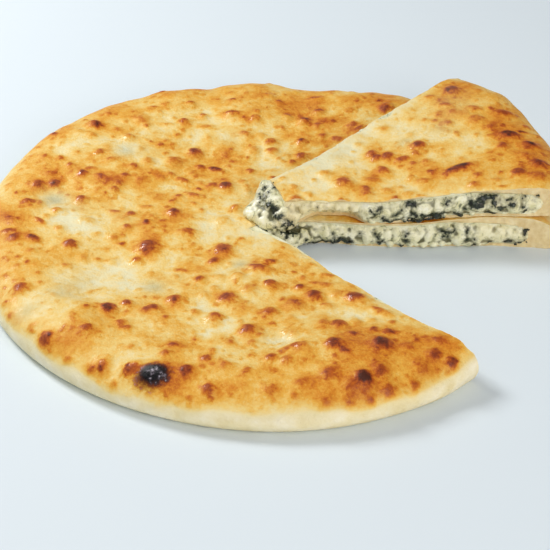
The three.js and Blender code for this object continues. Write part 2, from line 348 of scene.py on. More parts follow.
# Browned blisters on the pie, by how dark they are: x, y and width in mm
blisterShades = {"dark": 0.85, "brown": 0.7, "tan": 0.55, "golden": 0.4, "faint": 0.2}
pieBlisters = {
    "dark": [(-65, -25, 12), (-20, -71, 12), (-41, 110, 6), (-72, -78, 8), (46, -136, 10),
        (-80, -83, 10), (-27, -88, 11), (-44, 72, 10), (-127, -68, 10), (20, 107, 8)],
    "brown": [(-104, 92, 9), (56, -111, 12), (-83, 80, 8), (0, 84, 9), (1, 75, 9), (-130, 30, 9),
        (-121, 32, 8), (-105, 17, 8), (-117, 6, 8), (-106, -26, 8), (-110, -107, 10), (-53, 8, 8),
        (-19, 15, 7), (-25, -25, 12), (-10, -99, 10), (2, -122, 9), (24, -67, 10), (16, -60, 7),
        (32, -113, 10), (90, -121, 8), (68, 115, 9), (29, 117, 8), (-25, 38, 10), (-28, -144, 8),
        (-39, -133, 8), (1, -58, 8), (-58, -81, 8), (18, 85, 7), (18, 69, 8)],
    "tan": [(-74, 95, 6), (-89, -105, 7), (-120, 55, 5), (-114, 48, 5), (-78, 50, 6), (-70, 57, 7),
        (-106, 40, 6), (-82, 40, 5), (-134, 12, 6), (-87, 27, 6), (-113, -13, 6), (-77, -9, 6),
        (-70, -36, 7), (-61, -83, 6), (-73, -95, 8), (-70, -100, 6), (-79, -127, 8), (-30, -124, 6),
        (-50, -121, 6), (-67, -116, 6), (-9, 105, 7), (-52, 102, 7), (-49, 122, 6), (10, 111, 6),
        (-56, 60, 9), (-40, 57, 6), (-11, 53, 5), (-26, 3, 11), (-29, -37, 8), (-36, -54, 7),
        (-16, -52, 8), (1, -83, 9), (-48, -73, 9), (58, -141, 9), (60, -101, 6), (36, -94, 9),
        (48, 99, 7), (13, 62, 5), (9, -125, 8), (82, -117, 8), (55, -132, 9)],
    "golden": [(-97, 105, 5), (-77, 101, 9), (-104, 79, 6), (-86, 98, 4), (-111, 60, 4), (-130, 56, 5),
        (-85, 32, 5), (-127, 13, 4), (-76, 5, 6), (-84, -18, 6), (-92, -16, 4), (-83, -37, 7),
        (-91, -37, 5), (-126, -47, 4), (-131, -50, 5), (-139, -43, 4), (-131, -86, 5), (-134, -77, 4),
        (-136, -67, 4), (-118, -77, 4), (-67, -64, 5), (-70, -117, 5), (-118, -99, 6), (-74, -137, 5),
        (-67, -143, 5), (-35, -106, 6), (-59, 105, 5), (-8, 112, 4), (-25, 135, 5), (-24, 126, 5),
        (5, 127, 5), (-55, 86, 4), (-10, 75, 9), (-64, 74, 5), (-60, 66, 4), (-33, 38, 8),
        (-26, -53, 7), (-10, -64, 9), (-28, -63, 6), (-33, -69, 6), (9, -100, 5), (-4, -104, 5),
        (13, -77, 10), (-8, -110, 6), (-20, -129, 6), (1, -145, 9), (35, -66, 7), (30, -76, 8),
        (18, -51, 5), (27, -94, 8), (44, -91, 8), (53, -100, 6), (12, -103, 7), (50, -148, 5),
        (30, -135, 9), (13, -148, 6), (64, 94, 6), (52, 93, 5), (28, 100, 6), (5, 65, 5)],
    "faint": [(69, -113, 7), (28, -150, 9), (86, -108, 8), (75, -127, 8), (40, -142, 8), (94, -109, 9)]}
# Drawn-out ones: x, y, width, strength (over 1 is burnt), stretch, turn in degrees
pieStreaks = [
    (-55, -134.5, 14, 1.3, 1.5, 172), (-65, -130, 9, 0.9, 1.5, 0), (45, -68, 10, 0.95, 1.5, 155),
    (57, -81, 6, 0.75, 2.6, 150), (-5, -45, 7, 0.8, 2.2, 163), (1, -39, 5, 0.6, 2.0, 165),
    (-31, 56, 6, 0.92, 1.9, 165), (-24, 111, 7, 0.85, 1.5, 170), (-91, 54, 6, 0.5, 1.6, 20),
    (-102, 45, 4, 0.4, 2.4, 5), (-96, 38, 5, 0.45, 1.6, 160), (-125, -7, 5, 0.65, 2.2, 140),
    (-126, -24, 6, 0.75, 1.6, 145), (-140, -19, 5, 0.5, 2.2, 0), (-86, 6, 4, 0.5, 2.6, 170),
    (-69, 12, 5, 0.45, 2.0, 0), (-100, -4, 7, 0.35, 1.7, 0), (-91, -68, 3, 0.45, 4.5, 35),
    (-50, 42, 5, 0.65, 2.0, 150), (-43, 26, 6, 0.5, 2.0, 150), (-61, 97, 5, 0.45, 1.8, 0),
    (-71, 115, 6, 0.45, 1.7, 10), (-38, 97, 5, 0.4, 2.0, 0), (-15, 90, 5, 0.5, 1.6, 160),
    (-45, -11, 6, 0.5, 2.0, 10), (-47, -46, 4, 0.45, 3.0, 170), (-24, 59, 4, 0.4, 1.8, 0),
    (8, -117, 6, 0.5, 2.0, 30), (15, -115, 6, 0.45, 2.0, 160), (71, -138, 5, 0.4, 1.8, 95),
    (37, -119, 4, 0.6, 2.2, 140), (39, 86, 5, 0.6, 1.9, 160), (47, 116, 6, 0.4, 1.7, 20),
    (28, 133, 5, 0.4, 2.2, 0), (32, -48, 5, 0.4, 2.0, 165), (30, -58, 5, 0.3, 2.2, 0),
    (-10, -133, 5, 0.45, 1.8, 80), (2, 54, 5, 0.4, 1.8, 0)]
# Small ones strewn between them: width and strength from the least up to the least and its range
strewn = {"tries": 40, "width": 3.0, "widthRange": 3.5, "strength": 0.22, "strengthRange": 0.33,
          "stretch": 0.5, "cutClear": 2.0, "rimClear": 3.0, "sliceSpan": (170, 135), "sliceClear": 4.0,
          "sliceRimClear": 6.0}
# Shape of a blister: its height from its width and strength, and how its dome and shade fall off
dome = {"highest": 3.2, "share": 0.38, "faint": 0.25, "strong": 0.8, "reach": 1.1, "steep": 1.1,
        "power": 2.6, "blend": 4}


def domeHeight(width, strength):
    return min(dome["highest"], dome["share"] * width) * min(1.0, dome["faint"] + dome["strong"] * strength)


def gatherSpots(blisters, streaks):  # places were read on the crown, so a dome's foot lies nearer the eye
    spots = list(streaks)
    for shade, places in blisters.items():
        spots += [(x, y, width, blisterShades[shade], 1.0, 0) for x, y, width in places]
    return [(x, y - domeHeight(width, strength), width, strength, stretch, turn)
            for x, y, width, strength, stretch, turn in spots]


def scatterSpots(pick, taken, count, seed, gap):
    chance = random.Random(seed)
    spots = []
    for attempt in range(strewn["tries"] * count):
        if len(spots) == count:
            break
        place = pick(chance)
        if place is None:
            continue
        x, y = place
        width = strewn["width"] + strewn["widthRange"] * chance.random() ** 1.6
        strength = strewn["strength"] + strewn["strengthRange"] * chance.random() ** 1.4
        stretch = 1.0 + strewn["stretch"] * chance.random() ** 2
        turn = 180 * chance.random()
        if all(math.hypot(x - s[0], y - s[1]) > gap + 0.4 * (width + s[2]) for s in taken + spots):
            spots.append((x, y, width, strength, stretch, turn))
    return spots


def pickOnPie(chance):
    radius = (pie["radius"] - strewn["rimClear"]) * math.sqrt(chance.random())
    x, y = polar(360 * chance.random(), radius)
    clear = strewn["cutClear"]
    inGap = besideCut(frontCut, x, y)[1] > -clear and besideCut(backCut, x, y)[1] < clear and x > gapTip[0]
    return None if inGap or inSlice(x, y, clear) > 0.1 else (x, y)


def pickOnSlice(chance):
    x, y = (span * chance.random() for span in strewn["sliceSpan"])
    inRim = math.dist((x, y), sliceMiddle) > pie["radius"] - strewn["sliceRimClear"]
    return None if inRim or inSlice(x, y, -strewn["sliceClear"]) < 0.9 else (x, y)


def spotField(x, y, spots):  # how far inside a blister (0 at its edge), how dark it is, how high it stands
    inside = np.full_like(x, -1.0)
    shade = np.zeros_like(x)
    weight = np.full_like(x, 1e-6)
    rise = np.zeros_like(x)
    for sx, sy, width, strength, stretch, turn in spots:
        reach = dome["reach"] * width * stretch
        near = (np.abs(x - sx) < reach) & (np.abs(y - sy) < reach)
        a = math.radians(turn)
        u = (x[near] - sx) * math.cos(a) + (y[near] - sy) * math.sin(a)
        v = (y[near] - sy) * math.cos(a) - (x[near] - sx) * math.sin(a)
        far = np.hypot(u / stretch, v) / (0.5 * width)
        share = np.exp(-dome["blend"] * far)
        inside[near] = np.maximum(inside[near], 1 - far)
        shade[near] += share * strength
        weight[near] += share
        swelling = np.exp(-dome["steep"] * far ** dome["power"])
        rise[near] = np.maximum(rise[near], domeHeight(width, strength) * swelling)
    return inside, shade / weight, rise


# Broad browning (and, below 0, paleness) of the pie's top: x, y, spread, amount
pieZones = [
    (45, -135, 30, 0.09), (75, -118, 24, 0.18), (10, -85, 28, -0.05), (-105, 0, 18, -0.06),
    (15, -145, 20, 0.04), (-85, -120, 22, -0.05), (-50, -140, 22, 0.06), (60, -100, 16, 0.08),
    # the entry at 34, 87 darkens the top in a patch just beside the slice's left edge
    (30, 110, 28, 0.12), (70, 128, 20, 0.2), (34, 87, 11, 0.09), (-55, -42, 18, 0.04),
    (-30, 130, 28, 0.1), (-85, 95, 22, 0.12), (-130, 40, 22, 0.05), (-55, 20, 24, 0.05),
    (-35, 40, 20, 0.08), (-140, 0, 22, 0.08), (-100, -12, 14, -0.18), (-85, -53, 18, -0.2),
    (-49, -37, 8, -0.18), (-115, -92, 14, -0.06), (-25, -114, 12, -0.12), (-10, -129, 9, -0.13),
    (0, -140, 9, 0.08), (-10, -151, 11, 0.1), (46, -85, 12, -0.1), (8, -108, 12, -0.12),
    (-62, -122, 14, -0.1), (-15, -15, 12, -0.08), (-45, -32, 12, -0.03), (-112, 70, 16, -0.14),
    (-120, 16, 9, -0.2), (-82, 64, 9, -0.16), (-30, 88, 12, -0.14), (-60, -58, 14, -0.02),
    (20, -92, 14, -0.1), (15, -132, 16, 0.06), (-14, -78, 16, 0.06), (-42, -45, 20, 0.07),
    (10, -102, 16, -0.04)]
# Dough stretched thin over the greens
pieThin = [
    (-120, 17, 9, 0.95), (-84, 63, 8, 0.75), (-60, -62, 8, 0.75), (-98, -62, 13, 0.45),
    (-108, 8, 7, 0.4), (-15, -42, 6, 0.8), (-22, 86, 8, 0.4), (-108, -75, 9, 0.5), (-90, 0, 16, 0.25),
    (-122, -89, 9, 0.55)]
# Where the top browned evenly
pieCalm = [(72, -120, 30, 0.9), (18, -138, 16, 0.5), (-95, -108, 22, 0.85)]


def zoneField(x, y, zones):
    total = np.zeros_like(x)
    for zx, zy, spread, amount in zones:
        total += amount * nearSpot(x, y, zx, zy, spread)
    return total


def setAttribute(piece, name, values):
    layer = piece.data.attributes.new(name, "FLOAT", "POINT")
    layer.data.foreach_set("value", np.asarray(values, dtype=np.float32))


def keepCutEdges(piece):  # smooth shading, with a crisp line where the knife went
    bm = bmesh.new()
    bm.from_mesh(piece.data)
    for face in bm.faces:
        face.smooth = True
    for edge in bm.edges:
        edge.smooth = len({face.material_index for face in edge.link_faces}) < 2
    bm.to_mesh(piece.data)
    bm.free()


def surfaceOf(piece):
    bm = bmesh.new()
    bm.from_mesh(piece.data)
    tree = BVHTree.FromBMesh(bm)
    bm.free()
    return tree


def toFrame(piece):
    moveVertices(piece, (vertexPlaces(piece) + np.array(pieMiddle)) * mm)


# Wheat dough baked on a hot stone: pale where it stayed soft, golden to brown on every raised bubble,
# with a thin film of melted butter that gives small broken glints
def makeCrustMaterial():
    material, add = newMaterial("bakedWheatDough")
    place = add("TexCoord").outputs["Object"]
    bake, inside, shade, thin, side, calm, butter = (
        add("Attribute", attribute_name=name).outputs["Fac"]
        for name in ("bake", "inside", "shade", "thin", "side", "calm", "butter"))
    broad, patch, ragged, fine, smear, ripple = (  # size in mm, detail, roughness, distortion
        add("TexNoise", {"Vector": place, "Scale": 1 / (size * mm), "Detail": detail, "Roughness": rough,
                         "Distortion": twist})
        for size, detail, rough, twist in (
            (26, 2, 0.5, 0), (10, 4, 0.6, 0.2), (3, 3, 0.65, 0), (1.2, 3, 0.65, 0), (15, 3, 0.5, 0),
            (2.4, 1, 0.5, 0)))
    bubbles = add("TexVoronoi", {"Vector": place, "Scale": 1 / (5 * mm)})
    bubbleKind = add("SeparateColor", {"Color": bubbles.outputs["Color"]})
    bubbleSize = add("MapRange", [bubbleKind, 0.35, 1.0, 0.0, 0.5])
    bubbleIn = add("Math", [bubbleSize, bubbles], operation="SUBTRACT")
    bubbleEdge = add("Math", [ragged, 0.5, bubbleIn], operation="MULTIPLY_ADD")
    bubble = add("MapRange", [bubbleEdge, 0.1, 0.55], interpolation_type="SMOOTHSTEP")
    broadPush, patchPush, finePush, raggedPush = (
        add("MapRange", [layer, low, 1 - low, -reach, reach])
        for layer, low, reach in (
            (broad, 0.3, 0.11), (patch, 0.36, 0.1), (fine, 0.3, 0.035), (ragged, 0.3, 0.14)))

    # blisters: a browned core, a wide golden halo and a dark heart
    spotEdge = add("Math", [inside, raggedPush], operation="ADD")
    spotCore, spotHalo, spotHeart = (
        add("MapRange", [spotEdge, low, high, 0.0, top], interpolation_type="SMOOTHSTEP")
        for low, high, top in ((-0.1, 0.6, 1.0), (-0.9, 0.2, 0.45), (0.25, 0.9, 0.45)))
    spotSum = spotHeart
    for ring in (spotCore, spotHalo):
        spotSum = add("Math", [ring, spotSum], operation="ADD")
    spotLevel = add("Math", [spotSum, shade], operation="MULTIPLY")

    # how far each place browned, and the colour that gives
    mottle = add("Math", [broadPush, patchPush], operation="ADD")
    uneven = add("MapRange", [calm, 0.0, 1.0, 1.0, 0.25])
    mottled = add("Math", [mottle, uneven], operation="MULTIPLY")
    toast = bake
    for push, amount in (
            (mottled, 1.0), (finePush, 1.0), (raggedPush, 0.4), (bubble, 0.12), (spotLevel, 0.28)):
        toast = add("Math", [push, amount, toast], operation="MULTIPLY_ADD")
    rimCool = add("MapRange", [side, 0.0, 0.7, 1.0, 0.25])
    rimToast = add("Math", [toast, rimCool], operation="MULTIPLY")
    colour = add("ValToRGB", {"Fac": rimToast}, stops=[
        (0.0, "#ebe2b8"), (0.12, "#efda9e"), (0.25, "#eeca74"), (0.38, "#e7ad42"), (0.50, "#d7881e"),
        (0.62, "#b85a06"), (0.75, "#8c3703"), (0.90, "#4a1b05")])
    thinEdge = add("Math", [patchPush, 2.0, thin], operation="MULTIPLY_ADD", use_clamp=True)
    thinMask = add("Math", [thinEdge, thin], operation="MULTIPLY", use_clamp=True)
    withThin = add("MixRGB", {"Fac": thinMask, "Color1": colour, "Color2": linear("#b9b590")})
    rimTone = add("ValToRGB", {"Fac": patch}, stops=[
        (0.3, "#e6d6a4"), (0.5, "#efe3bb"), (0.7, "#f5edd2")])
    sidePale = add("MapRange", [side, 0.45, 0.95])
    withSide = add("MixRGB", {"Fac": sidePale, "Color1": withThin, "Color2": rimTone})

    # the burnt blister: black, with pale grey flecks painted in as glints
    burn = add("MapRange", [shade, 1.0, 1.2])
    burnEdge = add("Math", [raggedPush, 0.6, inside], operation="MULTIPLY_ADD")
    burnIn = add("MapRange", [burnEdge, -0.15, 0.6], interpolation_type="SMOOTHSTEP")
    charWithPaintedGlints = add("ValToRGB", {"Fac": ragged}, stops=[
        (0.40, "#040305"), (0.53, "#141014"), (0.61, "#564e55"), (0.70, "#b9b2bc")])
    charMask = add("Math", [burn, burnIn], operation="MULTIPLY")
    withChar = add("MixRGB", {"Fac": charMask, "Color1": withSide, "Color2": charWithPaintedGlints})
    gloss = add("MapRange", [patch, 0.3, 0.7, 0.45, 0.65])
    charGloss = add("Math", [charMask, -0.25, gloss], operation="MULTIPLY_ADD")
    height = fine
    for layer, amount in ((bubble, 0.6), (ragged, 1.0), (patch, 1.8)):
        height = add("Math", [layer, amount, height], operation="MULTIPLY_ADD")
    bump = add("Bump", {"Strength": 0.75, "Distance": 0.5 * mm, "Height": height})

    # butter: in smears and on the blisters, none on the char and little on the rim
    film = add("MapRange", [smear, 0.42, 0.6, 0.04, 0.26])
    filmOver = add("Math", [spotCore, 0.3, film], operation="MULTIPLY_ADD")
    dry = add("MapRange", [charMask, 0.0, 1.0, 1.0, 0.0])
    dryFilm = add("Math", [filmOver, dry], operation="MULTIPLY")
    shine = add("Math", [dryFilm, butter], operation="MULTIPLY", use_clamp=True)
    filmBump = add("Bump", {"Strength": 0.5, "Distance": 0.7 * mm, "Height": ripple})
    shader = add("BsdfPrincipled", {
        "Base Color": withChar, "Roughness": charGloss, "Normal": bump, "Specular IOR Level": 0.3,
        "Coat Weight": shine, "Coat Roughness": 0.11, "Coat Normal": filmBump})
    add("OutputMaterial", {"Surface": shader})
    return material


# Inside of the dough where it was cut: soft, pale and finely pored, without gloss
def makeCrumbMaterial():
    material, add = newMaterial("cutDoughCrumb")
    place = add("TexCoord").outputs["Object"]
    pores = add("TexVoronoi", {"Vector": place, "Scale": 1 / (1.3 * mm)})
    cloud = add("TexNoise", {"Vector": place, "Scale": 1 / (4 * mm), "Detail": 4.0})
    colour = add("ValToRGB", {"Fac": cloud}, stops=[
        (0.3, "#d9be86"), (0.6, "#e9d4a2"), (0.8, "#f1e3bc")])
    bump = add("Bump", {"Strength": 0.4, "Distance": 0.5 * mm, "Height": pores})
    shader = add("BsdfPrincipled", {
        "Base Color": colour, "Roughness": 0.62, "Normal": bump, "Subsurface Weight": 0.15,
        "Subsurface Radius": (1.0, 0.7, 0.4), "Subsurface Scale": 2.0 * mm})
    add("OutputMaterial", {"Surface": shader})
    return material


# Fresh brine cheese, crumbled and melted together: milky on the curds, with painted shade of dull olive in
# the hollows between them, and thin dark threads of herbs and juice round the leaves
def makeCheeseMaterial():
    material, add = newMaterial("meltedBrineCheese")
    place = add("TexCoord").outputs["Object"]
    stain, hollow, dough = (
        add("Attribute", attribute_name=name).outputs["Fac"] for name in ("stain", "hollow", "dough"))
    cloud = add("TexNoise", {"Vector": place, "Scale": 1 / (5 * mm), "Detail": 4.0, "Roughness": 0.6})
    fine = add("TexNoise", {"Vector": place, "Scale": 1 / (1.1 * mm), "Detail": 3.0})
    thread = add("TexNoise", {"Vector": place, "Scale": 1 / (6 * mm), "Detail": 2.0, "Distortion": 0.6})
    # painted shade: the deeper a point lies between the curds, the darker and more olive the cheese
    paintedHollowShade = add("MapRange", [hollow, -0.22, 0.28, 0.0, 0.95], interpolation_type="SMOOTHSTEP")
    threadOff = add("Math", [thread, 0.5], operation="SUBTRACT")
    threadFar = add("Math", [threadOff], operation="ABSOLUTE")
    threadLine = add("MapRange", [threadFar, 0.004, 0.03, 1.0, 0.0])
    threadPatch = add("MapRange", [cloud, 0.5, 0.4, 0.0, 0.8])
    threadTone = add("Math", [threadLine, threadPatch], operation="MULTIPLY")
    stainLevel = add("Math", [fine, 1.2, stain], operation="MULTIPLY_ADD")
    stainTone = add("MapRange", [stainLevel, 0.75, 1.5, 0.0, 0.9])
    colour = add("ValToRGB", {"Fac": cloud}, stops=[
        (0.3, "#cac794"), (0.45, "#e1deb6"), (0.6, "#f0eecf"), (0.75, "#f8f8e4")])
    # over the base tone: painted shade in the hollows, threads of herbs, juice stains and dough
    for share, over in (
            (paintedHollowShade, "#5f5d3c"), (threadTone, "#454c38"), (stainTone, "#3a4230"), (dough, "#f4e4ae")):
        colour = add("MixRGB", {"Fac": share, "Color1": colour, "Color2": linear(over)})
    bump = add("Bump", {"Strength": 0.4, "Distance": 0.4 * mm, "Height": fine})
    shader = add("BsdfPrincipled", {
        "Base Color": colour, "Roughness": 0.35, "Normal": bump, "Subsurface Weight": 0.12,
        "Subsurface Radius": (1.0, 0.9, 0.6), "Subsurface Scale": 1.2 * mm})
    add("OutputMaterial", {"Surface": shader})
    return material


# Wilted beet greens and herbs: wet and crumpled, nearly black with olive where the leaf is thin
def makeLeafMaterial():
    material, add = newMaterial("wiltedGreens")
    place = add("TexCoord").outputs["Object"]
    cloud = add("TexNoise", {"Vector": place, "Scale": 1 / (1.8 * mm), "Detail": 3.0, "Roughness": 0.6})
    colour = add("ValToRGB", {"Fac": cloud}, stops=[
        (0.35, "#0c100a"), (0.5, "#1c2417"), (0.62, "#3a442b"), (0.76, "#7f8464")])
    bump = add("Bump", {"Strength": 0.6, "Distance": 0.4 * mm, "Height": cloud})
    shader = add("BsdfPrincipled", {"Base Color": colour, "Roughness": 0.32, "Normal": bump})
    add("OutputMaterial", {"Surface": shader})
    return material


crustMaterial = makeCrustMaterial()
crumbMaterial = makeCrumbMaterial()
cheeseMaterial = makeCheeseMaterial()
leafMaterial = makeLeafMaterial()


# Lets a round's rim leave a true circle; the flat sole stays
def waveRim(places, waves):
    x, y, z = places.T
    wave = rimWave(np.degrees(np.arctan2(y, x)), waves) * rimShare(np.hypot(x, y))
    above = smoothStep(z, pie["soleDough"], pie["crestHeight"] - 4)
    grown = 1 + wave / pie["radius"]
    return np.stack([x * grown, y * grown, z + above * pie["rimLift"] * wave], 1), above


relief = {"lump": 13.0, "lumpRise": 1.15, "swirl": 34.0, "swirlRise": 1.2, "edgeDroop": 1.0,
          "edgeWidth": 3.5}
# Browning of both crusts, and where the rim stays dry of butter and turns to its pale side
tone = {"base": 0.29, "lumps": 0.12, "dry": 0.75, "dryFrom": 112, "dryTo": 142, "sideFrom": 140,
        "sideTo": 150}


def topRelief(x, y, seed):
    points = np.stack([x, y, np.zeros_like(x)], 1)
    lumps = relief["lumpRise"] * grain(points, relief["lump"], seed)
    return lumps + relief["swirlRise"] * grain(points, relief["swirl"], seed + 1)


def edgeDroop(cut, x, y):
    return relief["edgeDroop"] * np.exp(-(besideCut(cut, x, y)[1] / relief["edgeWidth"]) ** 2)


def carvedCrust(name, shape, bake, block, operation):
    dough = spinRound(doughProfile(bake["topStep"], bake["soleStep"]), bake["turns"], 3)
    crust = newPiece(name, dough, crustMaterial)
    moveVertices(crust, shape(vertexPlaces(crust), True))
    inner = spinRound(fillingProfile(pie["fitGap"], bake["hollowStep"]), bake["hollowTurns"])
    hollow = newPiece(name + "Hollow", inner, crumbMaterial)
    moveVertices(hollow, shape(vertexPlaces(hollow), False))
    carve(crust, hollow, "DIFFERENCE")
    carve(crust, block, operation)
    discard(hollow)
    keepCutEdges(crust)
    return crust


def crustLooks(piece, x, y, radius, seed, spots, zones, paleness, thin, calm, paleSide):
    bake = tone["base"] + tone["lumps"] * topRelief(x, y, seed) + zoneField(x, y, zones) - paleness
    inside, shade = spotField(x, y, spots)[:2]
    layers = {"bake": bake, "inside": inside, "shade": shade, "thin": zoneField(x, y, thin), "calm": calm,
              "butter": 1 - tone["dry"] * smoothStep(radius, tone["dryFrom"], tone["dryTo"]),
              "side": paleSide * smoothStep(radius, tone["sideFrom"], tone["sideTo"])}
    for name, values in layers.items():
        setAttribute(piece, name, values)


# The pie's crust, with fuller billows where nothing lies on it
pieBake = {"topStep": 1.45, "soleStep": 18.0, "turns": 176, "hollowStep": 8.0, "hollowTurns": 120,
           "seed": 3, "billow": 0.6, "margin": 3.0, "droopFrom": 132, "droopTo": 150, "cutPale": 0.09,
           "cutReach": 4.0, "rimCalm": 0.55, "calmFrom": 112, "calmTo": 140, "sideLow": 8.0,
           "sideHigh": 16.5, "ragged": 2.4, "raggedSize": 13.0}
# Where the front cut meets the rim the dough ends full and upright, and paler
cutEnd = {"along": 155.0, "spread": 15.0, "lift": 3.4, "liftFrom": (0.5, 6), "liftTo": (13, 18), "pull": 2.2,
          "pullFrom": (150, 158), "paleSpread": 14.0, "pale": 3}
# Below the burnt blister the rim browned further down
burnSide = {"place": (-60, -145), "spread": 40.0, "brown": 2.5}


def bakedPie(places, fine):
    x, y = places[:, 0], places[:, 1]
    places, above = waveRim(places, rimWaves)
    radius = np.hypot(x, y)
    bare = 1 - inSlice(x, y, pieBake["margin"])
    rise = swell(x, y) * (1 + pieBake["billow"] * bare)
    if fine:
        rise = rise + bare * (topRelief(x, y, pieBake["seed"]) + spotField(x, y, allPieSpots)[2])
        ends = 1 - smoothStep(radius, pieBake["droopFrom"], pieBake["droopTo"])
        for cut in (frontCut, backCut):
            rise -= bare * ends * edgeDroop(cut, x, y) * (besideCut(cut, x, y)[0] > -4)
        blunt = nearSpot(x, y, *onCut(frontCut, cutEnd["along"]), cutEnd["spread"])
        height = places[:, 2].copy()
        places[:, 2] += (cutEnd["lift"] * blunt * smoothStep(height, *cutEnd["liftFrom"])
                         * (1 - smoothStep(height, *cutEnd["liftTo"])))
        pull = cutEnd["pull"] / pie["radius"] * blunt * smoothStep(radius, *cutEnd["pullFrom"])
        places[:, :2] *= (1 - pull)[:, None]
    places[:, 2] += above * rise
    return places


seenOnPie = gatherSpots(pieBlisters, pieStreaks)
allPieSpots = seenOnPie + scatterSpots(pickOnPie, seenOnPie, count=135, seed=11, gap=1.5)
print("pie spots", len(allPieSpots))

gapBlock = knifeBlock("gapBlock", wedgeOutline(frontCut, backCut, gapTip), knife["gapHigh"])
pieCrust = carvedCrust("pieCrust", bakedPie, pieBake, gapBlock, "DIFFERENCE")
places = vertexPlaces(pieCrust)
x, y, z = places.T
radius = np.hypot(x, y)
nearCut = np.maximum(*(nearLine(cut, x, y, pieBake["cutReach"]) for cut in (frontCut, backCut)))
nearEnd = nearSpot(x, y, *onCut(frontCut, cutEnd["along"]), cutEnd["paleSpread"])
nearBurn = nearSpot(x, y, *burnSide["place"], burnSide["spread"])
band = z + pieBake["ragged"] * grain(places, pieBake["raggedSize"], 5)  # how far up the pale side reaches
band = band - cutEnd["pale"] * nearEnd + burnSide["brown"] * nearBurn
rimCalm = smoothStep(radius, pieBake["calmFrom"], pieBake["calmTo"])
crustLooks(pieCrust, x, y, radius, pieBake["seed"], allPieSpots, pieZones,
           pieBake["cutPale"] * nearCut * (x > gapTip[0]), pieThin,
           np.maximum(zoneField(x, y, pieCalm), pieBake["rimCalm"] * rimCalm),
           1 - smoothStep(band, pieBake["sideLow"], pieBake["sideHigh"]))
pieCrustSurface = surfaceOf(pieCrust)
toFrame(pieCrust)
print("pie crust", len(pieCrust.data.polygons))


# The slice's crust, laid on the pie
sliceBlisters = {
    "dark": [(84, 52, 11)],
    "brown": [(40, 18, 12), (66, 44, 9), (60, 43, 7), (136, 18, 10), (107, 104, 11)],
    "tan": [(30, 27, 8), (14, 2, 8), (7, 21, 5), (57, 47, 8), (78, 21, 6), (87, 36, 6), (82, 44, 6),
        (102, 70, 6), (130, 45, 8), (148, 27, 8)],
    "golden": [(21, 7, 6), (39, 1, 6), (68, 2, 7), (76, 6, 7), (64, 11, 6), (80, 34, 6), (105, 79, 5),
        (118, 72, 10), (107, 35, 5), (146, 14, 12), (111, 8, 7), (127, 18, 4)]}
sliceStreaks = [
    (56, 20, 7, 0.35, 1.8, 0), (53, 9, 6, 0.5, 2.2, 92), (63, 31, 8, 0.6, 1.5, 130),
    (74, 40, 6, 0.65, 1.7, 10), (65, 70, 5, 0.35, 2.0, 0), (101, 86, 5, 0.45, 2.0, 170),
    (93, 96, 5, 0.4, 1.6, 0), (118, 83, 6, 0.5, 1.6, 165), (136, 79, 7, 0.5, 2.0, 0),
    (135, 57, 8, 0.8, 1.5, 0), (144, 60, 3, 0.5, 3.0, 0), (146, 46, 7, 0.5, 1.5, 170),
    (125, 55, 4, 0.4, 2.0, 0), (104, 26, 8, 0.85, 2.3, 25), (84, 17, 6, 0.5, 1.6, 165),
    (82, 3, 6, 0.4, 1.6, 0), (126, 5, 3, 0.6, 2.4, 10)]
seenOnSlice = gatherSpots(sliceBlisters, sliceStreaks)
allSliceSpots = seenOnSlice + scatterSpots(pickOnSlice, seenOnSlice, count=26, seed=23, gap=2.2)
sliceZones = [
    (150, 40, 26, 0.16), (140, 78, 20, 0.17), (110, 112, 18, 0.17), (145, 15, 16, 0.12),
    (105, 30, 20, 0.05), (60, 40, 14, 0.09), (55, 12, 14, 0.05), (12, 8, 10, 0.05), (22, 40, 14, -0.14),
    (40, 50, 14, -0.14), (60, 65, 16, -0.03), (78, 55, 10, -0.12), (92, 60, 12, -0.06),
    (20, 25, 10, -0.12), (85, 10, 16, -0.03)]
sliceThin = [(77, 54, 6, 0.6), (97, 62, 9, 0.5), (36, 44, 8, 0.45), (50, 60, 14, 0.3), (107, 88, 18, 0.4)]
sliceBake = {"topStep": 1.2, "soleStep": 3.0, "turns": 200, "hollowStep": 5.0, "hollowTurns": 220,
             "seed": 8, "relief": 0.8, "cutPale": 0.16, "frontShare": 0.25, "frontReach": 4.0,
             "leftReach": 7.0, "calm": 0.3, "rimCalm": 0.4, "calmFrom": 95, "calmTo": 130, "sideLow": 7.0,
             "sideHigh": 12.5, "ragged": 2.6, "raggedSize": 9.0}
# Near the tip the front cut folds over, so its lower half lies further back
fold = {"lip": 7.4, "lipWave": 2.4, "waveLength": 9.0, "depth": 7.5, "soft": 1.5, "start": (14, 28),
        "end": (42, 56)}


def laidSlice(places, fine):
    places, above = waveRim(places, sliceWaves)
    x, y = places[:, 0] + sliceMiddle[0], places[:, 1] + sliceMiddle[1]
    rise = np.zeros_like(x)
    if fine:
        rise = sliceBake["relief"] * topRelief(x, y, sliceBake["seed"]) + spotField(x, y, allSliceSpots)[2]
        for cut in (sliceFront, sliceLeft):
            rise -= edgeDroop(cut, x, y)
    return np.stack([x, y, places[:, 2] + above * rise + pieTop(x, y) + pie["restGap"]], 1)


def foldLip(along):  # height of the folded dough's lower edge
    return fold["lip"] + fold["lipWave"] * noise.noise(Vector((along / fold["waveLength"], 2.0, 1.0)))


def foldedFront(place):
    along, left = besideCut(sliceFront, place.x, place.y)
    above = place.z - float(pieTop(place.x, place.y)) - pie["restGap"] - foldLip(along)
    window = smoothStep(along, *fold["start"]) * (1 - smoothStep(along, *fold["end"]))
    window = window * (1 - smoothStep(above, -fold["soft"], fold["soft"]))
    return fold["depth"] * float(window) if abs(left) < 2 else 0.0


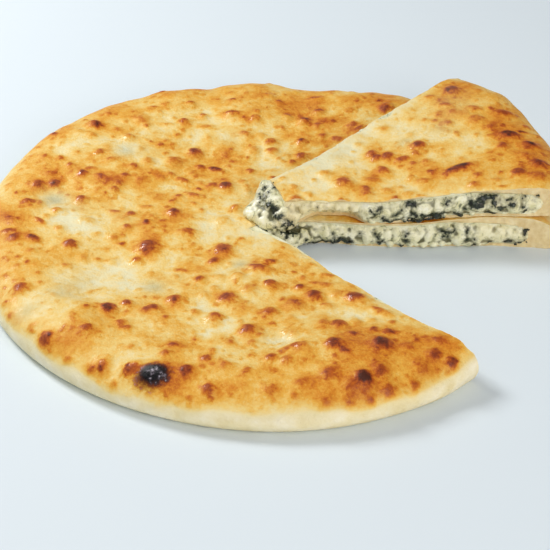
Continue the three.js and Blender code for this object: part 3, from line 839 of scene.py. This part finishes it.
sliceBlock = knifeBlock("sliceBlock", wedgeOutline(sliceFront, sliceLeft), knife["sliceHigh"], foldedFront)
sliceCrust = carvedCrust("sliceCrust", laidSlice, sliceBake, sliceBlock, "INTERSECT")
places = vertexPlaces(sliceCrust)
x, y, z = places.T
radius = np.hypot(x - sliceMiddle[0], y - sliceMiddle[1])
nearCut = np.maximum(sliceBake["frontShare"] * nearLine(sliceFront, x, y, sliceBake["frontReach"]),
                     nearLine(sliceLeft, x, y, sliceBake["leftReach"]))
band = z - pieTop(x, y) - pie["restGap"] + sliceBake["ragged"] * grain(places, sliceBake["raggedSize"], 6)
rimCalm = smoothStep(radius, sliceBake["calmFrom"], sliceBake["calmTo"])
crustLooks(sliceCrust, x, y, radius, sliceBake["seed"], allSliceSpots, sliceZones,
           sliceBake["cutPale"] * nearCut, sliceThin,
           sliceBake["calm"] + sliceBake["rimCalm"] * rimCalm,
           1 - smoothStep(band, sliceBake["sideLow"], sliceBake["sideHigh"]))
sliceCrustSurface = surfaceOf(sliceCrust)
toFrame(sliceCrust)
print("slice crust", len(sliceCrust.data.polygons))


# Filling: curds of cheese that bulge out of a cut, melted together, with shreds of greens on them
curds = {"voxel": 0.6, "texture": 3.2, "textureRise": 0.35, "soften": 0.5, "softenRounds": 8,
         "spans": ((0.9, 1.35), (0.8, 1.1), (0.75, 1.0))}
# Sizes, steps along the cut and places out of it in mm, or as a share of the filling's height
backing = {"pitch": 3.0, "deep": -2.9, "share": 0.48, "shallow": -1.3, "fromSole": 1.8, "fromTop": 2.3,
           "size": (1.8, 2.4)}
bigCurds = {"pitch": 8.0, "steps": (0.6, 1.1), "share": (0.3, 0.48), "out": (-3.2, -1.2)}
smallCurds = {"pitch": 6.0, "steps": (0.4, 1.2), "size": (1.6, 3.2), "out": (-1.0, 0.6)}
ooze = {"steps": (0.5, 1.3), "size": (1.9, 3.0), "out": (0.2, 1.2), "lift": 0.55}


def pieLevel(x, y):  # bottom and top of the pie's filling
    radius = math.hypot(x, y)
    return pie["soleDough"], float(pieTop(x, y)) - float(crown(radius)) + fillingTop(radius)


def sliceLevel(x, y):
    base = float(pieTop(x, y)) + pie["restGap"]
    return base + pie["soleDough"], base + fillingTop(math.hypot(x - sliceMiddle[0], y - sliceMiddle[1]))


def foldLevel(x, y):  # only the upper half shows cheese where the front folds over
    high = sliceLevel(x, y)[1]
    return float(pieTop(x, y)) + pie["restGap"] + foldLip(besideCut(sliceFront, x, y)[0]), high


def addLump(bm, place, size, chance):
    angle = chance.uniform(0, math.pi)
    axis = Vector((chance.random(), chance.random(), 0.5)).normalized()
    shape = [size * chance.uniform(*span) for span in curds["spans"]]
    matrix = Matrix.Translation(place) @ Matrix.Rotation(angle, 4, axis) @ Matrix.Diagonal((*shape, 1.0))
    for v in bmesh.ops.create_icosphere(bm, subdivisions=2, radius=1.0)["verts"]:
        v.co = matrix @ v.co


def stepsAlong(start, end, pitch, steps, chance):
    along = start
    while along < end:
        yield along
        along += pitch * chance.uniform(*steps)


def curdsAlong(bm, cut, out, start, end, levelAt, chance):
    for along in np.arange(start, end, backing["pitch"]):  # so that no gap shows between the curds
        low, high = levelAt(*onCut(cut, along))
        place = (*onCut(cut, along, backing["deep"] * out), 0.5 * (low + high))
        addLump(bm, place, backing["share"] * (high - low), chance)
        for height in (low + backing["fromSole"], high - backing["fromTop"]):
            place = (*onCut(cut, along, backing["shallow"] * out), height)
            addLump(bm, place, chance.uniform(*backing["size"]), chance)
    for along in stepsAlong(start, end, bigCurds["pitch"], bigCurds["steps"], chance):
        low, high = levelAt(*onCut(cut, along))
        size = (high - low) * chance.uniform(*bigCurds["share"])
        height = chance.uniform(low + 0.8 * size, max(low + 0.85 * size, high - 1.1 * size))
        addLump(bm, (*onCut(cut, along, out * chance.uniform(*bigCurds["out"])), height), size, chance)
    for along in stepsAlong(start, end, smallCurds["pitch"], smallCurds["steps"], chance):
        low, high = levelAt(*onCut(cut, along))
        size = chance.uniform(*smallCurds["size"])
        height = chance.uniform(low + 0.4 * size, high - 1.2 * size)
        addLump(bm, (*onCut(cut, along, out * chance.uniform(*smallCurds["out"])), height), size, chance)


def oozeAlong(bm, cut, out, start, end, levelAt, pitch, chance):  # cheese that ran down over the sole's edge
    for along in stepsAlong(start, end, pitch, ooze["steps"], chance):
        size = chance.uniform(*ooze["size"])
        low = levelAt(*onCut(cut, along))[0]
        place = (*onCut(cut, along, out * chance.uniform(*ooze["out"])), low + ooze["lift"] * size)
        addLump(bm, place, size, chance)


def meltTogether(piece):
    remesh = piece.modifiers.new("melt", "REMESH")
    remesh.mode = "VOXEL"
    remesh.voxel_size = curds["voxel"]
    soften = piece.modifiers.new("soften", "SMOOTH")
    soften.factor = curds["soften"]
    soften.iterations = curds["softenRounds"]
    applyModifiers(piece)
    places = vertexPlaces(piece)
    push = grain(places, curds["texture"], 4) + 0.5 * grain(places, 0.5 * curds["texture"], 9)
    moveVertices(piece, places + vertexPlaces(piece, "normal") * (curds["textureRise"] * push)[:, None])
    shadeSmooth(piece)


def makeCore(name, steps, shape):
    core = newPiece(name, spinRound(fillingProfile(0.0, 8.0), steps), cheeseMaterial)
    moveVertices(core, shape(vertexPlaces(core), False))
    return core


# Torn leaves: each is a ragged sheet that follows the curds under it, found by looking along a direction
greens = {"step": 0.45, "lift": 0.1, "thick": 0.3, "crumple": 0.7, "crumpleSize": 1.1, "tear": 1.7,
          "fineTear": 0.4, "jump": 2.4, "search": 60.0, "spread": 1.3, "standOff": 9.0, "tipStandOff": 24}


def layLeaf(bm, surfaces, path, direction, width):
    length = sum((b - a).length for a, b in zip(path, path[1:]))
    count = max(3, int(length / greens["step"]))
    across = max(3, int(greens["spread"] * width / greens["step"]))
    rows = []
    for i in range(count + 1):
        t = i / count * (len(path) - 1)
        k = min(int(t), len(path) - 2)
        middle = path[k].lerp(path[k + 1], t - k)
        sideways = (path[k + 1] - path[k]).cross(direction).normalized()
        ends = min(1.0, 2 * min(i, count - i) * greens["step"] / width)
        row = []
        for j in range(across):
            offset = greens["spread"] * width * (j / (across - 1) - 0.5)
            hits = [s.ray_cast(middle + sideways * offset, direction, greens["search"]) for s in surfaces]
            hits = [h for h in hits if h[0]]
            if not hits:
                row.append(None)
                continue
            hit = min(hits, key=lambda h: h[3])[0]
            torn = noise.noise(hit / greens["tear"])
            torn += 0.6 * noise.noise(hit / (greens["fineTear"] * greens["tear"]) + Vector((3, 5, 7)))
            whole = ends * (1 - abs(offset) / (0.5 * greens["spread"] * width)) + 0.85 * torn > 0.1
            crumple = greens["crumple"] * (0.5 + 0.5 * noise.noise(hit / greens["crumpleSize"]))
            row.append(bm.verts.new(hit - direction * (greens["lift"] + crumple)) if whole else None)
        rows.append(row)
    for a, b in zip(rows, rows[1:]):
        for corners in zip(a, a[1:], b[1:], b):
            if None not in corners and max((v.co - corners[0].co).length for v in corners) < greens["jump"]:
                bm.faces.new(corners)


def cutPath(cut, out, levelAt, marks):  # marks: along and height, 0 at the filling's bottom and 1 at its top
    path = []
    for along, share in marks:
        low, high = levelAt(*onCut(cut, along))
        path.append(Vector((*onCut(cut, along, greens["standOff"] * out), low + share * (high - low))))
    fx, fy = polar(cut["heading"], 1.0)
    return path, Vector((fy * out, -fx * out, 0.0))


def strewLeaves(bm, surfaces, cut, out, start, end, levelAt, chance, count, longest):
    for i in range(count):
        along, share = chance.uniform(start, end), chance.uniform(0.1, 0.65)
        reach, climb = chance.uniform(1.0, longest), chance.uniform(-0.25, 0.25)
        far = (along + reach, min(1.0, max(0.0, share + climb)))
        path, direction = cutPath(cut, out, levelAt, [(along, share), far])
        layLeaf(bm, surfaces, path, direction, chance.uniform(0.8, 1.2 + 0.2 * longest))


def greensPiece(name, bm):
    bmesh.ops.delete(bm, geom=[v for v in bm.verts if not v.link_faces], context="VERTS")
    bmesh.ops.recalc_face_normals(bm, faces=bm.faces[:])
    piece = newPiece(name, bm, leafMaterial)
    thicken = piece.modifiers.new("thicken", "SOLIDIFY")
    thicken.thickness = greens["thick"]
    thicken.offset = 0.0
    applyModifiers(piece)
    shadeSmooth(piece)
    toFrame(piece)
    return piece


def joinInto(piece, other):
    bm = bmesh.new()
    for part in (piece, other):
        bm.from_mesh(part.data)
    bm.to_mesh(piece.data)
    bm.free()
    discard(other)


chance = random.Random(5)
fillingEdge = pie["radius"] - pie["rimDough"]
pieFilling = makeCore("pieFilling", 120, bakedPie)
carve(pieFilling, gapBlock, "DIFFERENCE", False)
# The narrow end of the gap, where the filling slumped forward: place and size
slump = [
    (-4, -1.5, 11, 3.6), (1, -3.5, 10, 4.4), (6, -5, 9, 4.6), (11, -5, 8, 4.6), (15.5, -3.0, 6.5, 3.9),
    (8, -7.5, 5, 3.6), (13, -6.5, 4, 3.4), (3.5, -7, 6.5, 3.2), (19, -1.6, 8.5, 3.6), (-6, 0.5, 9, 3.2),
    (22, -0.8, 5, 3.2)]
# Round curds that stand out of the pie's back cut: along, size
roundCurds = [
    (24, 5.2), (32, 4.8), (47, 4.2), (54.5, 5.0), (64, 5.2), (70.5, 5.0), (80, 5.0), (88, 5.4),
    (105, 4.2), (111, 4.6), (118, 4.8), (127, 4.0), (137, 4.4)]
bm = bmesh.new()
curdsAlong(bm, backCut, -1, 10.0, fillingEdge, pieLevel, chance)
curdsAlong(bm, frontCut, 1, 16.0, fillingEdge - 3, pieLevel, chance)
oozeAlong(bm, backCut, -1, 26.0, 122.0, pieLevel, 5.0, chance)
for x, y, z, size in slump:
    addLump(bm, (x, y, z), size, chance)
    for i in range(4):
        place = (x + chance.gauss(0, 2), y + chance.gauss(-1.0, 1.4), z + chance.gauss(0.5, 2))
        addLump(bm, place, chance.uniform(0.9, 1.9), chance)
for along, size in roundCurds:
    low, high = pieLevel(*onCut(backCut, along))
    addLump(bm, (*onCut(backCut, along, 1.2), 0.5 * (low + high) - 0.6), size, chance)
pieCurds = newPiece("pieCurds", bm, cheeseMaterial)
meltTogether(pieCurds)
print("pie curds", len(pieCurds.data.polygons))

sliceFilling = makeCore("sliceFilling", 220, laidSlice)
carve(sliceFilling, sliceBlock, "INTERSECT", False)
# Cheese that spills out of the slice's tip: place and size
tipForms = [
    (-1, 19, 25, 5.0), (1, 12, 24, 5.4), (4, 5, 23.5, 5.4), (-4, 14, 22, 4.8), (-5, 8, 20.5, 5.0),
    (0, 3, 20.5, 5.0), (-9, 8, 18.4, 3.9), (-10, 4, 17.8, 3.8), (-7, 1, 17.4, 4.0),
    (-12.5, 5, 17.2, 2.8), (6, -2, 19.5, 4.6), (10, -3, 16.5, 4.2), (3, -4, 16.5, 4.4),
    (-3, -2.5, 16.4, 3.9), (9, 0, 23, 4.4), (14, -1.5, 20.5, 3.8)]
bm = bmesh.new()
curdsAlong(bm, sliceFront, -1, 52.0, fillingEdge + 4, sliceLevel, chance)
curdsAlong(bm, sliceFront, -1, 12.0, 52.0, foldLevel, chance)
oozeAlong(bm, sliceFront, -1, 56.0, 118.0, sliceLevel, 8.0, chance)
curdsAlong(bm, sliceLeft, 1, 14.0, fillingEdge, sliceLevel, chance)
for i, (x, y, z, size) in enumerate(tipForms):
    addLump(bm, (x, y, z), size, chance)
    for other in tipForms[:i]:  # neighbours run together
        if math.dist((x, y, z), other[:3]) < 8.5:
            addLump(bm, [0.5 * (a + b) for a, b in zip((x, y, z), other)], 0.48 * (size + other[3]), chance)
sliceCurds = newPiece("sliceCurds", bm, cheeseMaterial)
meltTogether(sliceCurds)
print("slice curds", len(sliceCurds.data.polygons))

# Greens in the slice's front and the pie's back cut: marks along the cut, then the leaf's width in mm
sliceRuns = [
    ([(61, 0.16), (65, 0.08), (70, 0.1), (74, 0.0), (78, -0.1)], 1.6),
    ([(76, -0.12), (82, -0.1), (88, 0.0), (96, 0.02)], 5.5), ([(84, 0.12), (90, 0.2), (95, 0.22)], 3.0),
    ([(100, 0.2), (104, 0.12), (106, 0.0)], 3.0), ([(107, -0.2), (109, -0.35)], 1.6),
    ([(108, 0.62), (113, 0.62), (118, 0.66)], 3.6),
    ([(112, 0.74), (116, 0.82), (120, 0.88), (123.5, 0.88)], 2.8),
    ([(120.5, 0.78), (122, 0.65), (123, 0.52)], 3.2), ([(123.5, 0.5), (126, 0.42), (128.5, 0.34)], 2.8),
    ([(129.5, 0.55), (132, 0.66), (134.5, 0.7)], 2.0),
    ([(126, 0.84), (131, 0.84), (136, 0.84), (139, 0.97), (141.5, 1.0)], 1.0),
    ([(143, 0.97), (145, 1.0), (148, 0.98)], 1.0), ([(136.5, 0.42), (138.5, 0.55)], 2.4),
    ([(117.5, 0.14), (120, 0.04), (124, 0.03)], 1.8), ([(74, 0.93), (77, 0.86), (80, 0.8)], 2.2),
    ([(77, 0.5), (79.5, 0.42), (81, 0.3)], 1.8), ([(71, 0.55), (75, 0.4), (80, 0.3), (84, 0.32)], 0.9),
    ([(44, 0.93), (47, 0.96), (50, 0.95)], 1.0), ([(52, 0.95), (54.5, 0.92)], 1.4),
    ([(54, 0.78), (56, 0.55), (58, 0.46)], 1.0), ([(59, 0.48), (61, 0.45)], 1.3),
    ([(24.5, 0.72), (26, 0.8), (28, 0.8)], 1.1)]
pieRuns = [
    # The first two runs lie along the foot of the back cut: partly greens, partly a dark sheet set in the
    # shade under the curds' foot
    ([(18, 0.03), (24, 0.02), (30, 0.02), (36, 0.05)], 1.6),
    ([(35, 0.08), (38, 0.16), (40, 0.32), (42, 0.14), (46, 0.05)], 2.8),
    ([(49.5, 0.95), (49.6, 0.5)], 1.0), ([(58, 0.85), (59, 0.6), (60, 0.4)], 1.1),
    ([(62, 0.4), (62.2, 0.1)], 1.0), ([(75.6, 0.9), (75.4, 0.5), (75.6, 0.2)], 1.2),
    ([(72, 0.02), (76, 0.02)], 1.6), ([(94, 0.72), (98, 0.73), (102, 0.72)], 1.5),
    ([(98, 0.66), (98.4, 0.38)], 1.4), ([(99.5, 0.18), (101.5, 0.17)], 1.6),
    ([(106, 0.4), (107, 0.42)], 1.4), ([(112, 0.08), (115, 0.04)], 1.5),
    ([(121, 0.2), (124, 0.24)], 1.5), ([(131.6, 0.02), (132.4, 0.16), (134, 0.42)], 2.8),
    ([(135, 0.02), (138, 0.02)], 2.0), ([(140, 0.68), (141.5, 0.78), (142.5, 0.95)], 2.2),
    ([(140.5, 0.4), (141.5, 0.25), (143, 0.08)], 0.9), ([(10, 0.9), (12, 0.82), (16, 0.76)], 2.6),
    ([(10, 0.42), (13, 0.4), (16, 0.32)], 1.8)]
# Greens at the tip, seen from the front: x and z on an upright plane through the middle,
# laid back onto the cheese
tipRuns = [
    ([(-1.3, 46), (-1.3, 42)], 1.0), ([(-3.8, 39.5), (-1, 38.8)], 1.2),
    ([(-2.2, 36.5), (-1, 34.5)], 1.0), ([(1.4, 42), (2.2, 40), (2.4, 38)], 0.9),
    ([(-5.8, 36.5), (-5.8, 32), (-5.2, 27.5)], 0.9), ([(-1.6, 28), (0.5, 25), (3.6, 21.5)], 3.2),
    ([(1.5, 18.5), (5.5, 17)], 2.2), ([(5, 20), (7, 17.5)], 2.4), ([(8, 14.5), (10, 13), (12, 12)], 4.2),
    ([(11, 12.4), (15.5, 12)], 1.4), ([(3.8, 12), (5, 11)], 2.0),
    ([(-7.5, 13.5), (-7.6, 11.5), (-6.2, 9.8)], 0.9), ([(-7, 13.8), (-5.6, 13.2)], 0.9),
    ([(6, 7.6), (10, 7.2), (15, 7.8)], 1.8), ([(8.5, 4), (10.5, 3.4)], 1.6),
    ([(-2, 8.4), (-0.4, 7.8)], 1.0), ([(12, 7), (14, 5.6)], 1.8)]
sliceSurfaces = (surfaceOf(sliceCurds), sliceCrustSurface)
pieSurfaces = (surfaceOf(pieCurds), pieCrustSurface)
bm = bmesh.new()
for marks, width in sliceRuns:
    path, direction = cutPath(sliceFront, -1, sliceLevel, marks)
    layLeaf(bm, sliceSurfaces, path, direction, width)
for marks, width in tipRuns:
    path = [Vector((x, 0, z)) - greens["tipStandOff"] * ahead for x, z in marks]
    layLeaf(bm, sliceSurfaces + pieSurfaces, path, ahead, width)
strewLeaves(bm, sliceSurfaces, sliceFront, -1, 54, fillingEdge, sliceLevel, chance, count=8, longest=3.0)
strewLeaves(bm, sliceSurfaces, sliceLeft, 1, 14, fillingEdge, sliceLevel, chance, count=30, longest=12.0)
sliceGreens = greensPiece("sliceGreens", bm)
bm = bmesh.new()
for marks, width in pieRuns:
    path, direction = cutPath(backCut, -1, pieLevel, marks)
    layLeaf(bm, pieSurfaces, path, direction, width)
strewLeaves(bm, pieSurfaces, backCut, -1, 12, fillingEdge, pieLevel, chance, count=8, longest=3.0)
strewLeaves(bm, pieSurfaces, frontCut, 1, 10, fillingEdge - 4, pieLevel, chance, count=30, longest=12.0)
pieGreens = greensPiece("pieGreens", bm)
print("greens", len(sliceGreens.data.polygons), len(pieGreens.data.polygons))


# How the cheese takes its colour: reach of the greens' juice, and depth between the curds, which sets the
# painted shade there, in mm
cheeseToneAndShade = {"juice": 1.4, "rounds": 30, "core": -0.15, "fadeIn": 5, "fadeOut": 7, "deep": 12}


def stainNear(piece, shreds):  # juice of the greens in the cheese round them
    tree = surfaceOf(shreds)
    shift = np.array(pieMiddle)
    reach = [tree.find_nearest(Vector((p + shift) * mm))[3] / mm for p in vertexPlaces(piece)]
    setAttribute(piece, "stain", np.exp(-np.array(reach) / cheeseToneAndShade["juice"]))


def setHollowShade(piece, coreCount):  # how deep each point lies between its neighbours, which sets the painted shade in the cheese's hollows
    places = vertexPlaces(piece)
    count = len(places)
    ends = np.empty(2 * len(piece.data.edges), dtype=np.int32)
    piece.data.edges.foreach_get("vertices", ends)
    a, b = ends.reshape(-1, 2).T
    neighbours = np.bincount(a, minlength=count) + np.bincount(b, minlength=count)
    smooth = places
    for i in range(cheeseToneAndShade["rounds"]):
        total = [np.bincount(a, smooth[b, k], count) + np.bincount(b, smooth[a, k], count) for k in range(3)]
        smooth = np.stack(total, 1) / np.maximum(neighbours, 1)[:, None]
    depth = ((smooth - places) * vertexPlaces(piece, "normal")).sum(1)
    depth[:coreCount] = cheeseToneAndShade["core"]  # the core shows only between the curds, so it takes a fixed small share of painted shade
    setAttribute(piece, "hollow", depth)


def doughOver(piece, cut, runs):  # stretches of a cut where dough runs into the cheese: start, end, amount
    x, y, z = vertexPlaces(piece).T
    along, left = besideCut(cut, x, y)
    share = np.zeros_like(x)
    for start, end, amount in runs:
        begun = smoothStep(along, start, start + cheeseToneAndShade["fadeIn"])
        share += amount * begun * (1 - smoothStep(along, end - cheeseToneAndShade["fadeOut"], end))
    setAttribute(piece, "dough", share * (np.abs(left) < cheeseToneAndShade["deep"]))


for filling, curdPiece, shreds, cut, doughRuns in (
        (pieFilling, pieCurds, pieGreens, backCut, [(112, 160, 0.2)]),
        (sliceFilling, sliceCurds, sliceGreens, sliceFront, [(7, 51, 0.4), (112, 160, 0.15)])):
    coreCount = len(filling.data.vertices)
    joinInto(filling, curdPiece)
    stainNear(filling, shreds)
    setHollowShade(filling, coreCount)
    doughOver(filling, cut, doughRuns)
    toFrame(filling)
    print(filling.name, len(filling.data.polygons))
for block in (gapBlock, sliceBlock):
    discard(block)
for piece in (pieGreens, sliceGreens):
    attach(piece, "root")

for piece, node, slotName in (
        (pieCrust, "pie_crust", "baked_crust"), (pieFilling, "pie_filling", "cheese_filling"),
        (sliceCrust, "slice_crust", "baked_crust"), (sliceFilling, "slice_filling", "cheese_filling")):
    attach(piece, "root")
    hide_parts(node)


# Plain pale floor and soft studio light: sizes and places in m, power in W
studio = {"floor": "#dee8ee", "floorSize": 6.0, "floorRough": 0.7, "sky": "#f4f6f8", "skyStrength": 0.34}
lamps = {  # place, target, size, power, tone
    "key": ((-0.8, 0.45, 0.85), (0, 0, 0), 0.38, 11.1, "#ffffff"),
    "fill": ((0.5, -1.1, 0.9), (0, 0, 0), 1.0, 9.0, "#ffffff"),
    "bounce": ((2.0, -2.3, 0.86), (0.1, 0, 0.02), 1.6, 17.5, "#ffe0b8")}

floorMesh = bmesh.new()
bmesh.ops.create_grid(floorMesh, x_segments=1, y_segments=1, size=studio["floorSize"])
floorMaterial, add = newMaterial("paleTable")
floorTone = {"Base Color": linear(studio["floor"]), "Roughness": studio["floorRough"]}
floorShader = add("BsdfPrincipled", floorTone)
add("OutputMaterial", {"Surface": floorShader})
floor = newPiece("floor", floorMesh, floorMaterial)

world = bpy.data.worlds.new("studio")
world.use_nodes = True
scene.world = world
background = world.node_tree.nodes["Background"]
background.inputs["Color"].default_value = linear(studio["sky"])
background.inputs["Strength"].default_value = studio["skyStrength"]

for name, (place, target, size, power, lampTone) in lamps.items():
    light = bpy.data.lights.new(name, "AREA")
    light.size = size
    light.energy = power
    light.color = linear(lampTone)[:3]
    lamp = bpy.data.objects.new(name, light)
    lamp.location = place
    lamp.rotation_euler = (Vector(target) - Vector(place)).to_track_quat("-Z", "Y").to_euler()
    scene.collection.objects.link(lamp)
scene.view_settings.view_transform = "Standard"
print("lights set")
